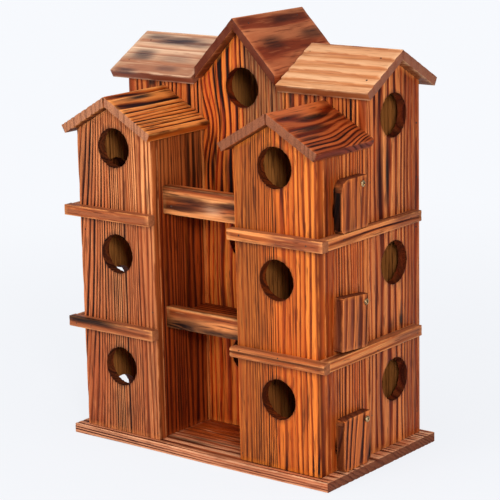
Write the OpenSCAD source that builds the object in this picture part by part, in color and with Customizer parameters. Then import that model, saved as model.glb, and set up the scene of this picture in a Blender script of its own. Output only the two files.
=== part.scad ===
// Multi-chamber birdhouse of scorched fir boards: two three-storey front towers,
// a full-width back block with a tall centre gable, five pitched roofs, and a
// pivoting clean-out door at each tower storey.
// +X is the right of the front view, +Y the back, +Z up. The origin is the middle
// of the base's underside, under the middle of the whole outline.

/* [Boards] */
// Thickness of the wall, floor, shelf and door boards
board_t = 12; // [9:0.5:16]
// Thickness of the base board
base_t = 12; // [9:0.5:18]
// Thickness of the tower and side roof boards
roof_t = 11; // [8:0.5:15]
// Thickness of the centre roof boards
centre_roof_t = 9.5; // [7:0.5:14]

/* [Plan] */
// Width over the outer walls
body_w = 360; // [340:2:400]
// Width of one tower front board
tower_w = 118; // [106:1:122]
// Depth of a tower, from its front face to the front of the back block
tower_depth = 97; // [92:1:120]
// Depth of the back block
block_depth = 108; // [96:1:130]
// Width of the centre house, between the two partitions
centre_w = 124; // [112:1:130]
// How far a tower's inner wall stands back from the edge of its front board
inner_wall_set = 3; // [1:0.5:6]
// Overhang of the base board past the side walls
base_side = 15.5; // [15.5:0.5:30]
// Overhang of the base board past the tower fronts
base_front = 9; // [4:1:14]
// Overhang of the base board past the back
base_back = 9; // [4:1:16]

/* [Storeys] */
// Height from one tower floor to the next
storey_h = 140.5; // [135:0.5:160]
// How much higher the recess shelves lie than the tower floors
shelf_rise = 11; // [4:0.5:16]
// Distance of the shelf fronts behind the tower fronts
shelf_set = 22; // [10:1:30]
// Height of the lower and upper shelf fronts
apron_h = [26, 34]; // [20:0.5:40]
// How far a shelf front hangs below its shelf
apron_drop = 2; // [0:0.5:4]

/* [Roofs] */
// Height of the tower ridges above the top floors
tower_rise = 138.5; // [132:0.5:160]
// Pitch of the tower roofs, in degrees
tower_angle = 29.5; // [27:0.5:31]
// Level distance from a tower ridge to its eave
tower_eave = 70.6; // [66:0.2:74]
// Overhang of the tower roofs past the tower fronts
tower_over = 14.5; // [8:0.5:20]
// Height of the side roofs' eaves above the tower ridges
side_clear = 5.9; // [1:0.1:16]
// Pitch of the side roofs, in degrees
side_angle = 29.7; // [28:0.1:30.5]
// Level distance from a side ridge to its eaves
side_eave = 72; // [66:0.5:76]
// How far the side roofs' inner ends stand back from the centre gable
side_roof_set = 1.1; // [0.3:0.1:4]
// Overhang of the side roofs past the side walls
side_over = 14; // [6:0.5:18]
// Height of the centre ridge above the side roofs' ridges
centre_lift = 33; // [29:0.5:45]
// Pitch of the centre roof, in degrees
centre_angle = 46; // [44:0.5:48]
// How far short of the partition the left centre slab ends
centre_gap_left = 2.5; // [0.3:0.1:6]
// How far short of the partition the right centre slab ends
centre_gap_right = 0.3; // [0.3:0.1:6]
// Overhang of the centre roof past the front wall
centre_over_front = 16; // [8:0.5:20]
// Overhang of the centre roof past the back wall
centre_over_back = 14.5; // [8:0.5:20]

/* [Entrance holes] */
// Diameter of the holes that face the front
entrance_d = 49; // [38:0.5:52]
// Diameter of the holes in the side walls
side_entrance_d = 53; // [38:0.5:56]
// Height of the two lower tower holes above their floors
tower_hole_rise = [84, 85]; // [50:0.5:90]
// Distance of a tower's top hole below its ridge
tower_hole_drop = 64; // [54:0.5:70]
// Height of the two lower centre holes above their floors
centre_hole_rise = [94, 86.5]; // [50:0.5:96]
// Distance of the centre's top hole below its ridge
centre_hole_drop = 84.5; // [70:0.5:120]
// Height of the two lower side holes above their floors
side_hole_rise = [81, 83.5]; // [50:0.5:90]
// Distance of a side wall's top hole below its ridge
side_hole_drop = 77; // [60:0.5:120]

/* [Clean-out holes and doors] */
// Diameter of the clean-out holes in the towers' outer walls
cleanout_d = 49; // [38:0.5:50]
// Height of the clean-out holes above their floors, bottom storey first
cleanout_rise = [28, 29.5, 26]; // [25.5:0.5:31]
// Distance of the clean-out holes' centres behind the tower fronts
cleanout_back = 53.5; // [50:0.5:56]
// Thickness of the doors
door_t = 12; // [9:0.5:12.2]
// Distance of the doors' front edges behind the tower fronts
door_front = 30; // [26:0.5:32]
// Width of each door, bottom storey first
door_w = [53.5, 52, 51]; // [50:0.5:56]
// Height of each door, bottom storey first
door_h = [63, 63, 60.5]; // [58:0.5:64]
// Radius of each door's upper front corner, bottom storey first
door_round = [8, 3, 14]; // [1:0.5:18]
// Width and height of the bevel on the bottom doors' lower rear corners
door_bevel = [8, 6.5]; // [4:0.5:12]
// Radius of the small corners of the doors
door_corner = 3; // [1.5:0.5:4]
// Distance of each screw from its door's rear edge, bottom storey first
screw_rear = [9.5, 8, 11.5]; // [7:0.5:12]
// Distance of each screw below its door's top edge
screw_top = 9; // [7:0.5:11]
// Angle at which the two lower doors on the left stand open, in degrees
open_angle = 195; // [0:5:270]
// Angle at which the middle door on the right stands ajar, in degrees
ajar_angle = 5; // [0:1:60]
// Gap between a door and the wall, and between its turning corner and the ledge below
door_gap = [0.3, 0.3]; // [0.2:0.1:0.8]

/* [Door screws] */
// Diameter of a screw's shank
screw_d = 4; // [3:0.1:5]
// Clearance all round a screw in its door
screw_fit = 0.06; // [0.02:0.01:0.1]
// Diameter of a screw's pan head
head_d = 8; // [6.5:0.1:9]
// Height of a screw's pan head
head_h = 2.5; // [2:0.1:2.6]
// Gap between a screw's head and its door
head_gap = 0.3; // [0.1:0.1:0.5]
// Depth to which a screw enters the wall
screw_bite = 10; // [6:0.5:11]

/* [Trim strips] */
// Height of the trim strips
trim_h = 13; // [8:0.5:14]
// Thickness of the front strips
front_trim_t = 12; // [8:0.5:14]
// Thickness of the side strips
side_trim_t = 12.5; // [12.3:0.1:14]
// How far the front strips reach past the towers' inner edges
trim_in = 3; // [0:0.5:8]
// How far the front strips reach past the side strips
trim_out = 2.5; // [0:0.5:3]
// How far the side strips stop short of the back
trim_short = 14; // [0:1:30]

/* [Hidden] */
$fn = 64;

left = -1;
right = 1;
// Storeys, counted from the bottom
lower = 0;
middle = 1;
upper = 2;

// Places along Y: the whole outline is centred on the origin
front_reach = max(tower_over, front_trim_t, base_front);
back_reach = max(side_eave - block_depth / 2, centre_over_back, base_back);
y_front = (back_reach + tower_depth + block_depth - front_reach) / -2;
y_mid = y_front + tower_depth;
y_back = y_mid + block_depth;
y_ridge = (y_mid + y_back) / 2;

// Places along X, on the right side
x_out = body_w / 2;
x_tower = x_out - tower_w;
x_ridge = x_out - tower_w / 2;
x_inner = x_tower + inner_wall_set;
x_part = centre_w / 2;
x_door = x_out + door_gap[0];
x_strip = x_out + side_trim_t;

// How far a cut runs past the board that it goes through
cut = 1;

// Height of a tower's floor top, and of a shelf's top
function floor_z(storey) = base_t + storey * storey_h;
function shelf_z(storey) = floor_z(storey) + shelf_rise;

function cleanout_z(storey) = floor_z(storey) + cleanout_rise[storey];

tower_ridge = floor_z(upper) + tower_rise;
side_ridge = tower_ridge + side_clear + roof_t * cos(side_angle) + side_eave * tan(side_angle);
centre_ridge = side_ridge + centre_lift;

// Heights of the entrance holes, bottom storey first
tower_holes = [
    floor_z(lower) + tower_hole_rise[lower], floor_z(middle) + tower_hole_rise[middle],
    tower_ridge - tower_hole_drop
];
centre_holes = [
    floor_z(lower) + centre_hole_rise[lower], shelf_z(middle) + centre_hole_rise[middle],
    centre_ridge - centre_hole_drop
];
side_holes = [
    floor_z(lower) + side_hole_rise[lower], floor_z(middle) + side_hole_rise[middle],
    side_ridge - side_hole_drop
];

// Height of the underside of each roof
function under(ridge, t, pitch, off) = ridge - t / cos(pitch) - abs(off) * tan(pitch);
function tower_under(x) = under(tower_ridge, roof_t, tower_angle, x - x_ridge);
function side_under(y) = under(side_ridge, roof_t, side_angle, y - y_ridge);
function centre_under(x) = under(centre_ridge, centre_roof_t, centre_angle, x);

// A door's foot below its screw, and how far its lower rear corner swings below that
function foot(storey) = door_h[storey] - screw_top;
function heel(storey) = storey == lower
    ? norm([max(screw_rear[storey] - door_bevel[0], 0), foot(storey)])
    : norm([screw_rear[storey] - door_corner, foot(storey) - door_corner]) + door_corner;

// Places of the screws, each so high that its door's corner turns clear of the ledge
function screw_y(storey) = y_front + door_front + door_w[storey] - screw_rear[storey];
function screw_z(storey) = floor_z(storey) + door_gap[1] + heel(storey);
function rest_angle(side, storey) =
    storey == upper ? 0 :
    side == left ? open_angle :
    storey == middle ? ajar_angle : 0;

// Colours of the wood
wall_tone = [0.69, 0.37, 0.18];
dark_tone = [0.45, 0.21, 0.11];
roof_tone = [0.72, 0.44, 0.27];
ruddy_tone = [0.53, 0.26, 0.15];
trim_tone = [0.78, 0.47, 0.25];
steel_tone = [0.78, 0.77, 0.74];

// Puts what is drawn for the right side on the side named
module on_side(side) {
    mirror([side == left ? 1 : 0, 0, 0]) children();
}

// A front-view outline (x, z) that runs back from y to y + depth
module run_back(y, depth) {
    translate([0, y + depth, 0]) rotate([90, 0, 0]) linear_extrude(depth) children();
}

// A side-view outline (y, z) that runs right from x to x + width
module run_right(x, width) {
    translate([x, 0, 0]) rotate([90, 0, 90]) linear_extrude(width) children();
}

// A block between two corners
module block(from, to) {
    translate(from) cube(to - from);
}

// Round holes in a front-view or side-view outline
module holes(across, heights, d) {
    for (z = heights) translate([across, z]) circle(d = d);
}

// Rounds one corner of an outline: at is the corner, dir points into the board
module corner_cut(at, dir, r) {
    translate(at) scale([dir[0], dir[1]]) difference() {
        translate([-cut, -cut]) square(r + cut);
        translate([r, r]) circle(r = r);
    }
}

module base_board() {
    color(dark_tone) block(
        [-x_out - base_side, y_front - base_front, 0],
        [x_out + base_side, y_back + base_back, base_t]
    );
}

// Front board of a tower: one plank with a gable top and three entrance holes
module tower_front(side) {
    color(wall_tone) on_side(side) run_back(y_front, board_t) difference() {
        polygon([
            [x_tower, base_t], [x_out, base_t], [x_out, tower_under(x_out)],
            [x_ridge, tower_under(x_ridge)], [x_tower, tower_under(x_tower)]
        ]);
        holes(x_ridge, tower_holes, entrance_d);
    }
}

// A tower's side plank from x to x + board_t, its top bevelled to the roof
module tower_plank(x) {
    far = x + board_t;
    run_back(y_front + board_t, tower_depth - board_t) polygon([
        [x, base_t], [far, base_t], [far, tower_under(far)], [x, tower_under(x)]
    ]);
}

module tower_outer_wall(side) {
    color(wall_tone) on_side(side) difference() {
        tower_plank(x_out - board_t);
        for (storey = [lower:upper]) {
            translate([x_out - board_t - cut, y_front + cleanout_back, cleanout_z(storey)])
                rotate([0, 90, 0]) cylinder(h = board_t + 2 * cut, d = cleanout_d);
            translate([x_out - screw_bite, screw_y(storey), screw_z(storey)])
                rotate([0, 90, 0]) cylinder(h = screw_bite + cut, d = screw_d);
        }
    }
}

module tower_inner_wall(side) {
    color(dark_tone) on_side(side) tower_plank(x_inner);
}

// A tower floor, between the tower's walls and below the top of its trim
module tower_floor(side, storey) {
    color(dark_tone) on_side(side) block(
        [x_inner + board_t, y_front + board_t, floor_z(storey) - board_t],
        [x_out - board_t, y_mid, floor_z(storey)]
    );
}

// Outline of a board under the centre gable
module centre_outline() {
    polygon([
        [-x_part, base_t], [x_part, base_t], [x_part, centre_under(x_part)],
        [0, centre_under(0)], [-x_part, centre_under(x_part)]
    ]);
}

module centre_front() {
    color(wall_tone) run_back(y_mid, board_t) difference() {
        centre_outline();
        holes(0, centre_holes, entrance_d);
    }
}

module centre_back() {
    color(dark_tone) run_back(y_back - board_t, board_t) centre_outline();
}

// A board of the back block's front or back, its top bevelled to the side roof
module block_board(side, y) {
    far = y + board_t;
    color(wall_tone) on_side(side) run_right(x_part, x_out - board_t - x_part) polygon([
        [y, base_t], [far, base_t], [far, side_under(far)], [y, side_under(y)]
    ]);
}

// Outline of a board under a side gable, between two places along Y
module gable_outline(near, far) {
    polygon([
        [near, base_t], [far, base_t], [far, side_under(far)],
        [y_ridge, side_under(y_ridge)], [near, side_under(near)]
    ]);
}

// Outer wall of the back block: one plank with a gable top and three holes
module side_wall(side) {
    color(wall_tone) on_side(side) run_right(x_out - board_t, board_t) difference() {
        gable_outline(y_mid, y_back);
        holes(y_ridge, side_holes, side_entrance_d);
    }
}

// Wall between the centre house and a side house, closing the side gable
module partition(side) {
    color(dark_tone) on_side(side) run_right(x_part, board_t)
        gable_outline(y_mid + board_t, y_back - board_t);
}

module block_floor(side, storey) {
    color(dark_tone) on_side(side) block(
        [x_part + board_t, y_mid + board_t, floor_z(storey) - board_t],
        [x_out - board_t, y_back - board_t, floor_z(storey)]
    );
}

module centre_floor(storey) {
    color(dark_tone) block(
        [-x_part, y_mid + board_t, shelf_z(storey) - board_t],
        [x_part, y_back - board_t, shelf_z(storey)]
    );
}

// A shelf in the recess between the towers, behind its front board
module shelf(storey) {
    color(dark_tone) block(
        [-x_inner, y_front + shelf_set + board_t, shelf_z(storey) - board_t],
        [x_inner, y_mid, shelf_z(storey)]
    );
}

module shelf_front(storey) {
    base = shelf_z(storey) - board_t - apron_drop;
    color(ruddy_tone) block(
        [-x_inner, y_front + shelf_set, base],
        [x_inner, y_front + shelf_set + board_t, base + apron_h[storey - 1]]
    );
}

// Section of a roof slab: plumb at the ridge, square at the eave
module slab_section(ridge, t, pitch, eave) {
    plumb = t / cos(pitch);
    polygon([
        [0, ridge - plumb], [0, ridge], [eave, ridge - eave * tan(pitch)],
        [eave - t * sin(pitch), ridge - eave * tan(pitch) - t * cos(pitch)]
    ]);
}

// One slab of a tower roof; way is 1 for the outer slab and -1 for the inner one
module tower_roof(side, way) {
    color(ruddy_tone) on_side(side) translate([x_ridge, 0, 0])
        mirror([way < 0 ? 1 : 0, 0, 0])
        run_back(y_front - tower_over, tower_depth + tower_over)
        slab_section(tower_ridge, roof_t, tower_angle, tower_eave);
}

// One slab of a side roof; way is 1 for the back slab and -1 for the front one
module side_roof(side, way) {
    inner = x_part + side_roof_set;
    color(roof_tone) on_side(side) translate([0, y_ridge, 0])
        mirror([0, way < 0 ? 1 : 0, 0])
        run_right(inner, x_out + side_over - inner)
        slab_section(side_ridge, roof_t, side_angle, side_eave);
}

// One slab of the centre roof, plumb at both ends
module centre_roof(side, gap) {
    plumb = centre_roof_t / cos(centre_angle);
    end = x_part - gap;
    fall = end * tan(centre_angle);
    color(ruddy_tone) on_side(side)
        run_back(y_mid - centre_over_front, block_depth + centre_over_front + centre_over_back)
        polygon([
            [0, centre_ridge - plumb], [0, centre_ridge],
            [end, centre_ridge - fall], [end, centre_ridge - fall - plumb]
        ]);
}

// Section of a front trim strip; the moulded one has a rounded nose over a groove
module trim_section(moulded) {
    nose = trim_h * 0.3;
    groove = trim_h * 0.09;
    difference() {
        translate([-front_trim_t, -trim_h]) square([front_trim_t, trim_h]);
        if (moulded) {
            corner_cut([-front_trim_t, 0], [1, -1], nose);
            corner_cut([-front_trim_t, -trim_h], [1, 1], nose);
            translate([-front_trim_t, -trim_h * 0.42]) circle(r = groove);
        }
    }
}

// Strip nailed across a tower front at a floor; storey is the one that it closes below
module front_trim(side, storey, moulded) {
    start = x_tower - trim_in;
    color(trim_tone) on_side(side) translate([0, y_front, floor_z(storey)])
        run_right(start, x_strip + trim_out - start) trim_section(moulded);
}

// Strip nailed along the tower's outer wall and the side wall, behind the front strip
module side_trim(side, storey) {
    color(trim_tone) on_side(side) block(
        [x_out, y_front, floor_z(storey) - trim_h],
        [x_strip, y_back - trim_short, floor_z(storey)]
    );
}

// Outline of a door, seen from outside on the right, with its screw at the origin
module door_outline(storey) {
    rear = screw_rear[storey];
    front = rear - door_w[storey];
    low = -foot(storey);
    difference() {
        translate([front, low]) square([door_w[storey], door_h[storey]]);
        corner_cut([front, screw_top], [1, -1], door_round[storey]);
        corner_cut([front, low], [1, 1], door_corner);
        corner_cut([rear, screw_top], [-1, -1], door_corner);
        if (storey == lower) polygon([
            [rear - door_bevel[0], low], [rear, low + door_bevel[1]],
            [rear + cut, low + door_bevel[1]], [rear + cut, low - cut],
            [rear - door_bevel[0], low - cut]
        ]);
        else corner_cut([rear, low], [-1, 1], door_corner);
    }
}

// A door with its screw hole, swung to the angle at which it stands at rest
module door(side, storey) {
    color(trim_tone) on_side(side)
        translate([x_door, screw_y(storey), screw_z(storey)])
        rotate([-rest_angle(side, storey), 0, 0])
        run_right(0, door_t) difference() {
            door_outline(storey);
            circle(d = screw_d + 2 * screw_fit);
        }
}

// Pan-head screw along X, its head outside, with a cross recess
module door_screw(side, storey) {
    head_x = x_door + door_t + head_gap;
    shank = head_x - x_out + screw_bite;
    tip = screw_d * 0.8;
    slot = [head_d * 0.14, head_d * 0.56];
    on_side(side) translate([head_x, screw_y(storey), screw_z(storey)])
        rotate([0, 90, 0]) difference() {
            rotate_extrude() polygon([
                [0, -shank], [screw_d / 2, tip - shank], [screw_d / 2, 0],
                [head_d / 2, 0], [head_d * 0.48, head_h * 0.5],
                [head_d * 0.36, head_h * 0.88], [0, head_h]
            ]);
            for (turn = [0, 90]) rotate(turn + 45)
                translate([-slot[0] / 2, -slot[1] / 2, head_h * 0.4])
                cube([slot[0], slot[1], head_h]);
        }
}

module door_screws() {
    color(steel_tone) for (side = [left, right], storey = [lower:upper])
        door_screw(side, storey);
}

base_board();
tower_front(left);  // left_tower_front
tower_front(right);  // right_tower_front
tower_outer_wall(left);  // left_tower_outer_wall
tower_outer_wall(right);  // right_tower_outer_wall
tower_inner_wall(left);  // left_tower_inner_wall
tower_inner_wall(right);  // right_tower_inner_wall
tower_floor(left, middle);  // left_tower_lower_floor
tower_floor(left, upper);  // left_tower_upper_floor
tower_floor(right, middle);  // right_tower_lower_floor
tower_floor(right, upper);  // right_tower_upper_floor
centre_front();
block_board(left, y_mid);  // left_block_front
block_board(right, y_mid);  // right_block_front
centre_back();
block_board(left, y_back - board_t);  // left_block_back
block_board(right, y_back - board_t);  // right_block_back
side_wall(left);  // left_side_wall
side_wall(right);  // right_side_wall
partition(left);  // left_partition
partition(right);  // right_partition
block_floor(left, middle);  // left_block_lower_floor
block_floor(left, upper);  // left_block_upper_floor
block_floor(right, middle);  // right_block_lower_floor
block_floor(right, upper);  // right_block_upper_floor
centre_floor(middle);  // centre_lower_floor
centre_floor(upper);  // centre_upper_floor
shelf(middle);  // lower_shelf
shelf(upper);  // upper_shelf
shelf_front(middle);  // lower_shelf_front
shelf_front(upper);  // upper_shelf_front
tower_roof(left, 1);  // left_tower_roof_outer
tower_roof(left, -1);  // left_tower_roof_inner
tower_roof(right, 1);  // right_tower_roof_outer
tower_roof(right, -1);  // right_tower_roof_inner
side_roof(left, -1);  // left_roof_front
side_roof(left, 1);  // left_roof_back
side_roof(right, -1);  // right_roof_front
side_roof(right, 1);  // right_roof_back
centre_roof(left, centre_gap_left);  // centre_roof_left
centre_roof(right, centre_gap_right);  // centre_roof_right
front_trim(left, middle, false);  // left_front_trim_lower
front_trim(left, upper, false);  // left_front_trim_upper
front_trim(right, middle, true);  // right_front_trim_lower
front_trim(right, upper, false);  // right_front_trim_upper
side_trim(left, middle);  // left_side_trim_lower
side_trim(left, upper);  // left_side_trim_upper
side_trim(right, middle);  // right_side_trim_lower
side_trim(right, upper);  // right_side_trim_upper
door(left, lower);  // left_door_lower
door(left, middle);  // left_door_middle
door(left, upper);  // left_door_upper
door(right, lower);  // right_door_lower
door(right, middle);  // right_door_middle
door(right, upper);  // right_door_upper
door_screws();
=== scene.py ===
import math

import bpy
import numpy as np
from mathutils import Matrix, Vector


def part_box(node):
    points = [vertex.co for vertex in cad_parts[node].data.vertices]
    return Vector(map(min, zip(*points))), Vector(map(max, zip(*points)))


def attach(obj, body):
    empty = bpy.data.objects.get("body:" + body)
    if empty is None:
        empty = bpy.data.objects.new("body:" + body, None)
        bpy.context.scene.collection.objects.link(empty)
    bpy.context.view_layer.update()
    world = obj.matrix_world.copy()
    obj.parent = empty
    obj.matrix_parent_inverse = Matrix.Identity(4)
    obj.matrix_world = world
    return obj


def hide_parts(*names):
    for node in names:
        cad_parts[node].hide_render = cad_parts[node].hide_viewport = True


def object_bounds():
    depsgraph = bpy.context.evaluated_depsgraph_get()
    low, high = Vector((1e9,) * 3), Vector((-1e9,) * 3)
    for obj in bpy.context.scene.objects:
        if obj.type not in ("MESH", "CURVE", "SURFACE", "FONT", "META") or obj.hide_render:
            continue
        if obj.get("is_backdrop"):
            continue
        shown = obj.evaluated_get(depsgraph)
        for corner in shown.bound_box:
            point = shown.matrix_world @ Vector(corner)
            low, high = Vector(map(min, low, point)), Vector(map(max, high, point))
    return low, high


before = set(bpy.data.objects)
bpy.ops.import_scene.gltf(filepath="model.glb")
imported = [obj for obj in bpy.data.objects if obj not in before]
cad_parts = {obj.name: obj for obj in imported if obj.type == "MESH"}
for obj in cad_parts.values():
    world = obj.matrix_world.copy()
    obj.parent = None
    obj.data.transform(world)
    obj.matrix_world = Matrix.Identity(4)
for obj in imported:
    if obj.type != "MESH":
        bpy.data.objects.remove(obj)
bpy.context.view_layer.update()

# --- Base board -------------------------------------------------------------
# One wide fir plank that the whole house is nailed to. Its face was scorched with
# a torch and brushed, so that the hard late rings stand as dark lines along it.

MM = 0.001
BOARD = 12.0                      # thickness of every wall, floor and strip
FRONT, MID, BACK = -104.25, -7.25, 100.75   # tower fronts, block front, block back
X_OUT, X_TOWER, X_INNER, X_PART = 180.0, 62.0, 65.0, 62.0
X_RIDGE = 121.0
Y_RIDGE = (MID + BACK) / 2
FLOOR = (12.0, 152.5, 293.0)      # heights of the tower floors
X, Y, Z = np.eye(3)


def tan(degrees):
    return math.tan(math.radians(degrees))


def drift(a, b, seed, reach, stretch=9.0):
    """Slow waves: the sum of five sines in random directions, each about `reach`
    long across the grain and `stretch` times that along it."""
    rng = np.random.default_rng(seed)
    total = 0.0
    for _ in range(5):
        k = rng.uniform(0.4, 1.5) / reach
        m = rng.uniform(-1.2, 1.2) / (reach * stretch)
        total = total + np.sin(2 * np.pi * (k * a + m * b) + rng.uniform(0, 6.3))
    return total / 5


def rings(u, w, t, grain):
    """Count of growth rings at a point of the board. Either the distance to a leaning
    pith line over the rings' width, or the running sum of 1 / spacing across the face,
    leaned through the thickness. Slow waves bend the rings, and a knot adds a
    bell-shaped hill, round which they part."""
    seed = grain["seed"]
    sway = grain.get("sway", 2.0)
    lean = grain.get("lean", 0.0)
    bend = grain["bend"](u, w) if "bend" in grain else 0.0
    shift = bend - lean * w + sway * drift(u, w, seed, 70.0, 4.0)
    if "spacing" in grain:
        place, gap = np.array(grain["spacing"], float).T
        line = np.linspace(place[0] - 30, place[-1] + 30, 600)
        total = np.cumsum((line[1] - line[0]) / np.interp(line, place, gap))
        count = np.interp(u + shift + grain.get("slant", 0.5) * t, line, total)
    else:
        heart, deep = grain["heart"]
        count = np.hypot(u - heart + shift, deep + t + sway * drift(u, w, seed + 1, 80.0, 3.0)) / grain["pitch"]
    count = count + 0.35 * np.sin(count * 0.9 + seed) + 0.22 * drift(u, w, seed + 2, 24.0, 10.0)
    for ku, kw, su, sw, lift in grain.get("knots", ()):
        count = count + lift * np.exp(-((u - ku) / su) ** 2 - ((w - kw) / sw) ** 2)
    return count


LINE = 0.78                       # where in a ring its soft, dark line lies


def groove(count):
    """Depth, from 0 to 1, of the brushed rings: a rounded groove over the half of each
    ring that is centred on its dark line, and nothing on the hard ridge between."""
    far = np.abs(np.mod(count - LINE + 0.5, 1.0) - 0.5)
    return 0.5 + 0.5 * np.cos(2 * np.pi * np.clip(far / 0.56, 0.0, 0.5))


def blots(u, w, t, spots, thick):
    """Scorch marks on a board's face: soft ellipses (across, along, half-sizes,
    strength)."""
    total = np.zeros_like(u)
    for su, sw, ru, rw, force in spots:
        total = np.maximum(total, force * np.exp(-((u - su) / ru) ** 4 - np.abs((w - sw) / rw) ** 3))
    return total * (t > -0.4 * thick)


def section_loop(width, thick, edge, pitch, skew, back=0.8):
    """Points and outward normals round a board's cross-section: two faces, two sides
    and four rounded edges, each a quarter circle. skew shears the sides for plumb cuts."""
    def line(a, b, step):
        n = max(2, int(round(abs(b - a) / step)) + 1)
        return np.linspace(a, b, n)
    e, b = edge, back
    face, rear = line(e, width - e, pitch), line(b, width - b, pitch)
    side = line(-e, -thick + b, 2.6)
    arc = np.radians(np.linspace(90, 0, 4 if e < 1.5 else 9)[1:-1])
    heel = np.radians([60.0, 30.0])
    parts = [
        (face, 0 * face, 0 * face, 0 * face + 1),
        (width - e + e * np.cos(arc), -e + e * np.sin(arc), np.cos(arc), np.sin(arc)),
        (0 * side + width, side, 0 * side + 1, 0 * side),
        (width - b + b * np.cos(heel[::-1]), -thick + b - b * np.sin(heel[::-1]), np.cos(heel[::-1]),
         -np.sin(heel[::-1])),
        (rear[::-1], 0 * rear - thick, 0 * rear, 0 * rear - 1),
        (b - b * np.cos(heel), -thick + b - b * np.sin(heel), -np.cos(heel), -np.sin(heel)),
        (0 * side, side[::-1], 0 * side - 1, 0 * side),
        (e - e * np.cos(arc[::-1]), -e + e * np.sin(arc[::-1]), -np.cos(arc[::-1]), np.sin(arc[::-1])),
    ]
    u, t, nu, nt = (np.concatenate(p) for p in zip(*parts))
    u = u - t * (skew[0] * (1 - u / width) + skew[1] * u / width)
    return u, t, nu, nt, len(face), len(side) + len(arc) + 2, len(rear)


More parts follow.
